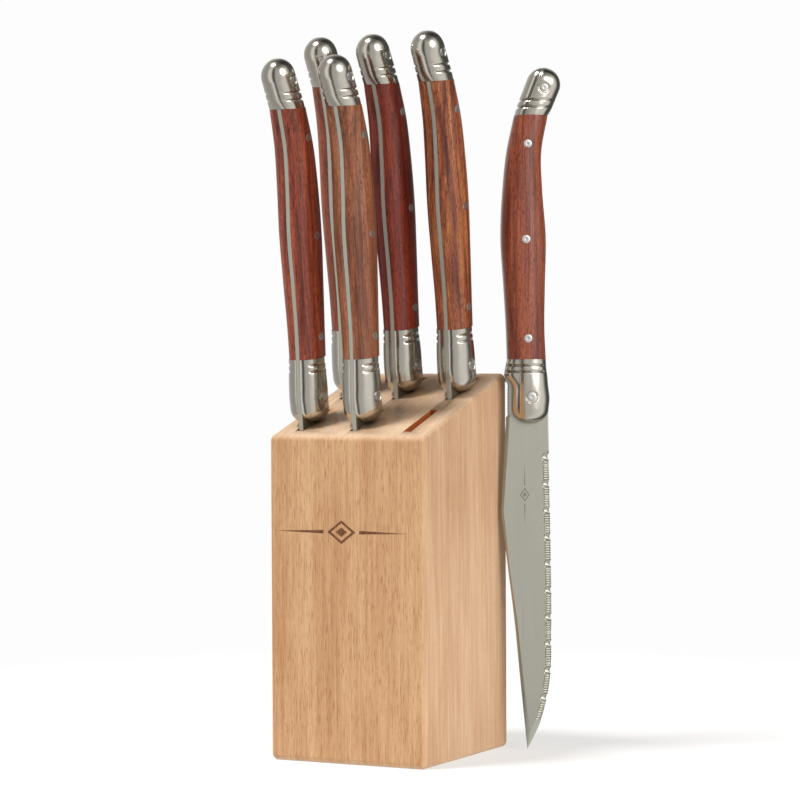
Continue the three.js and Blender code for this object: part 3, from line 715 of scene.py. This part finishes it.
def makeKnife(knife):
    place = knifePlace(knife)
    number = knife[-1]
    wood = makeRosewood(knife)

    def add(name, shape, material, slotName, *nodes):
        points, faces = shape
        piece = makePiece(f"{knife}_{name}", placed(points, place), faces, material, ownPlace=points)
        seat(piece, knife, slotName, *nodes)

    add("ground_blade", shapes["blade"], materials["satinBladeSteel"], "blade_steel", f"{knife}_blade")
    add("cast_pommel", shapes["pommel"], materials["polishedCastSteel"], "bolster_steel", f"{knife}_pommel")
    for hand in ("left", "right"):
        add(f"wood_{hand}", shapes[f"scale_{hand}"], wood, f"rosewood_{number}", f"{knife}_scale_{hand}")
        half = f"bolster_{hand}"
        add(f"cast_{half}", shapes[half], materials["polishedCastSteel"], "bolster_steel", f"{knife}_{half}")
    for name, at in zip(("front", "middle", "rear"), handle["rivetAt"]):
        z = scaleFoot + at * handle["length"]
        spine, edge, thick = (float(value) for value in handleSection(np.array(z)))
        profile = pinProfile(thick + pinStand["rivet"], handle["rivetRadius"])
        pin = turnedAboutX(profile, (spine - edge) / 2, z)
        add(f"pin_{name}", pin, materials["drawnPinSteel"], "rivet_steel", f"{knife}_rivet_{name}")
    lowProfile = pinProfile(bolster["thickness"] / 2 + pinStand["cast"], bolster["pinRadius"])
    low = turnedAboutX(lowProfile, bolster["pinOut"], blade["length"] + bolster["pinUp"])
    add("bolster_pin", low, materials["drawnPinSteel"], "bolster_steel")
    highProfile = pinProfile(pommel["thickness"] / 2 + pinStand["cast"], pommel["pinRadius"])
    high = turnedAboutX(highProfile, *pommelPlace(pommel["pinAlong"]))
    add("pommel_pin", high, materials["drawnPinSteel"], "bolster_steel")


# Block sizes in mm; its width, depth and height come from the frame
block = {
    "topRise": 21, "edgeRound": 1.8, "cornerRound": 2.2, "roundSteps": 8,
    "slotWidth": 2.8, "slotLean": math.radians(2), "slotLengths": (20.16, 21.86), "slotFronts": (5.4, 35.1),
    # the slot tint is painted shade, a darker red-brown laid on the slots' walls
    "boards": 4, "slotShadeTint": "d3935d",
}


# side outline of the block with its corners rounded: each corner's arc is centre + radius * direction,
# with the direction turning from one side's normal to the next
def blockOutline(depth, height, inset):
    half = depth / 2
    corners = np.array([[-half, 0], [half, 0], [half, height], [-half, height - block["topRise"]]])
    before = np.roll(corners, 1, 0) - corners
    after = np.roll(corners, -1, 0) - corners
    before /= np.linalg.norm(before, axis=1)[:, None]
    after /= np.linalg.norm(after, axis=1)[:, None]
    halfAngle = np.arccos((before * after).sum(1)) / 2
    inward = (before + after) / np.linalg.norm(before + after, axis=1)[:, None]
    centres = corners + inward * (block["cornerRound"] / np.sin(halfAngle))[:, None]
    normalIn = np.stack([-before[:, 1], before[:, 0]], 1)
    normalOut = np.stack([after[:, 1], -after[:, 0]], 1)
    first = np.arctan2(normalIn[:, 1], normalIn[:, 0])
    turn = (np.arctan2(normalOut[:, 1], normalOut[:, 0]) - first) % (2 * np.pi)
    angle = first[:, None] + turn[:, None] * np.linspace(0, 1, block["roundSteps"] + 1)
    radius = block["cornerRound"] - inset
    arcs = centres[:, None] + radius * np.stack([np.cos(angle), np.sin(angle)], -1)
    return arcs.reshape(-1, 2)


# the outline carried along X, drawn in by 1 - cos over the rounded outer edges
def blockRings(left, right, roundLeft, roundRight, depth, height):
    arc = np.linspace(0, np.pi / 2, block["roundSteps"] + 1)
    rounded = block["edgeRound"] * np.stack([1 - np.cos(arc), 1 - np.sin(arc)], 1)
    sharp = np.zeros((1, 2))
    places = [(left + step, inset) for step, inset in (rounded if roundLeft else sharp)]
    places += [(right - step, inset) for step, inset in (rounded[::-1] if roundRight else sharp)]
    rings = []
    for x, inset in places:
        outline = blockOutline(depth, height, inset)
        rings.append(np.column_stack([np.full(len(outline), x), outline]))
    return np.array(rings)


# cutter for one knife's groove: a bar that leans back with the slots, open through the board's left face
def slotCutter(left, row, depth, height, material):
    front = block["slotFronts"][row] - depth / 2
    level = height - block["topRise"] + block["topRise"] / depth * (front + depth / 2)
    near, far, long, tall = left - 1, left + block["slotWidth"], block["slotLengths"][row], 2 * height
    section = [(near, 0), (far, 0), (far, long), (near, long)]
    corners = np.array([[(x, y, z) for x, y in section] for z in (-tall, tall)], float)
    lean = block["slotLean"]
    y, z = corners[..., 1].copy(), corners[..., 2].copy()
    corners[..., 1] = front + y * math.cos(lean) - z * math.sin(lean)
    corners[..., 2] = level + y * math.sin(lean) + z * math.cos(lean)
    points, faces = closedLoft(corners)
    return makePiece("slotCutter", points * mm, faces, material)


def makeBlock():
    lows, highs = zip(*(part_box(f"block_board_{i + 1}") for i in range(block["boards"])))
    low = np.array(lows).min(0) / mm
    high = np.array(highs).max(0) / mm
    depth = high[1] - low[1]
    slope = block["topRise"] / depth
    # the rounded back corner lies lower than the sharp one that the outline is drawn from
    height = high[2] - low[2] + block["cornerRound"] * (slope + math.hypot(1, slope) - 1)
    edges = [low[0]] + [corner[0] / mm for corner in lows[1:]] + [high[0]]
    wood = makeBeech("oiledBeech", "ffffff", low[1] * mm)
    # a front that lies well away from the block leaves the ornament off
    # painted shade in the slots: beech multiplied by a darker red-brown tint for the slots' walls
    slotShade = makeBeech("slotShadeBeech", block["slotShadeTint"], -1.0)
    for i in range(block["boards"]):
        rings = blockRings(edges[i], edges[i + 1], i == 0, i == block["boards"] - 1, depth, height)
        points, faces = closedLoft(rings)
        name = f"block_board_{i + 1}"
        board = makePiece(f"{name}_rounded", points * mm, faces, wood, smoothUnder=30)
        board.data.materials.append(slotShade)
        if i > 0:
            cutters = [slotCutter(edges[i], row, depth, height, slotShade) for row in (0, 1)]
            for cutter in cutters:
                cut = board.modifiers.new("slot", "BOOLEAN")
                cut.operation = "DIFFERENCE"
                cut.solver = "EXACT"
                cut.object = cutter
                cut.material_mode = "TRANSFER"
            bpy.context.view_layer.update()
            depsgraph = bpy.context.evaluated_depsgraph_get()
            solid = bpy.data.meshes.new_from_object(board.evaluated_get(depsgraph))
            board.modifiers.clear()
            board.data = solid
            for cutter in cutters:
                bpy.data.objects.remove(cutter)
        # faces towards the next board, the slots' walls among them, take the darker red-brown tint: painted
        # shade in the slots
        for face in board.data.polygons:
            if abs(face.normal.x) > 0.9 and abs(face.center.x) < 0.9 * high[0] * mm:
                face.material_index = 1
        seat(board, "block", "beech", name)
    print("block made")


# Key light from high on the left in front and a broad fill from the right, as (name, direction towards the
# light, spread in degrees, strength). Polished steel mirrors panels all round, as (turn in degrees, level),
# whose level changes with height. The floor thins out into the white backdrop between two distances, and
# nothing mirrors it
studio = {
    "floorColour": "fbfaf8", "floorReach": 2.0, "floorFade": (0.17, 0.36), "floorGlow": 0.6,
    "backdrop": "fdfdfd",
    "suns": [("keyLight", (-0.28, -0.31, 0.91), 13, 2.7), ("fillLight", (0.94, -0.34, 0.45), 40, 1.1)],
    "panels": [(-180, 0.5), (-150, 0.42), (-130, 0.5), (-124, 1.1), (-111, 1.1), (-100, 0.05), (-88, 0.05),
               (-78, 0.6), (-50, 0.6), (-25, 0.85), (15, 1.0), (28, 0.5), (38, 0.1), (72, 0.08), (95, 0.45),
               (130, 0.7), (180, 0.5)],
    "heights": [(0.0, 1.0), (0.55, 1.0), (0.75, 0.7), (0.9, 0.2), (1.0, 0.2)],
}


def makeFloor():
    material, tree = newMaterial("paleMattPaper")
    shader = addNode(tree, "ShaderNodeBsdfPrincipled", {
        "Base Color": grey(1 - studio["floorGlow"]), "Roughness": 0.9, "Specular IOR Level": 0.0,
        "Emission Color": hexColour(studio["floorColour"]), "Emission Strength": studio["floorGlow"]})
    place = addNode(tree, "ShaderNodeTexCoord").outputs["Object"]
    away = addNode(tree, "ShaderNodeVectorMath", {"operation": "LENGTH"}, {0: place}).outputs["Value"]
    near, far = studio["floorFade"]
    limits = {"interpolation_type": "SMOOTHSTEP", "From Min": near, "From Max": far}
    thinned = addNode(tree, "ShaderNodeMapRange", limits, {"Value": away})
    mirrored = addNode(tree, "ShaderNodeLightPath").outputs["Is Glossy Ray"]
    gone = addNode(tree, "ShaderNodeMath", {"operation": "MAXIMUM"}, {0: thinned, 1: mirrored})
    clear = addNode(tree, "ShaderNodeBsdfTransparent")
    surface = addNode(tree, "ShaderNodeMixShader", links={0: gone, 1: shader, 2: clear})
    addNode(tree, "ShaderNodeOutputMaterial", links={"Surface": surface})
    reach = studio["floorReach"]
    corners = np.array([[-reach, -reach, 0], [reach, -reach, 0], [reach, reach, 0], [-reach, reach, 0]])
    floor = makePiece("studioFloor", corners, [[0, 1, 2, 3]], material)


def makeStudio():
    makeFloor()
    for name, towards, spread, strength in studio["suns"]:
        data = bpy.data.lights.new(name, "SUN")
        data.angle = math.radians(spread)
        data.energy = strength
        lamp = bpy.data.objects.new(name, data)
        lamp.rotation_euler = Vector(towards).to_track_quat("Z", "Y").to_euler()
        bpy.context.scene.collection.objects.link(lamp)
    world = bpy.data.worlds.new("softStudio")
    world.use_nodes = True
    tree = world.node_tree
    tree.nodes.clear()
    direction = addNode(tree, "ShaderNodeTexCoord").outputs["Generated"]
    parts = addNode(tree, "ShaderNodeSeparateXYZ", links={"Vector": direction}).outputs
    angle = addNode(tree, "ShaderNodeMath", {"operation": "ARCTAN2"}, {0: parts[1], 1: parts[0]})
    turn = addNode(tree, "ShaderNodeMapRange", {"From Min": -math.pi, "From Max": math.pi}, {"Value": angle})
    panels = addNode(tree, "ShaderNodeValToRGB", links={"Fac": turn}, stops=[
        ((degrees + 180) / 360, grey(level)) for degrees, level in studio["panels"]])
    risen = addNode(tree, "ShaderNodeValToRGB", links={"Fac": parts[2]}, stops=[
        (height, grey(level)) for height, level in studio["heights"]])
    mirrored = addNode(tree, "ShaderNodeMix", {"data_type": "RGBA", "blend_type": "MULTIPLY", 0: 1.0},
                       {6: panels, 7: risen}).outputs[2]
    isSeen = addNode(tree, "ShaderNodeLightPath").outputs["Is Camera Ray"]
    colour = addNode(tree, "ShaderNodeMix", {"data_type": "RGBA", 7: hexColour(studio["backdrop"])},
                     {0: isSeen, 6: mirrored}).outputs[2]
    light = addNode(tree, "ShaderNodeBackground", links={"Color": colour})
    addNode(tree, "ShaderNodeOutputWorld", links={"Surface": light})
    bpy.context.scene.world = world
    bpy.context.scene.view_settings.view_transform = "Standard"
    print("studio made")


makeCamera()
makeBlock()
for knife in knives:
    makeKnife(knife)
print("knives made")
makeStudio()
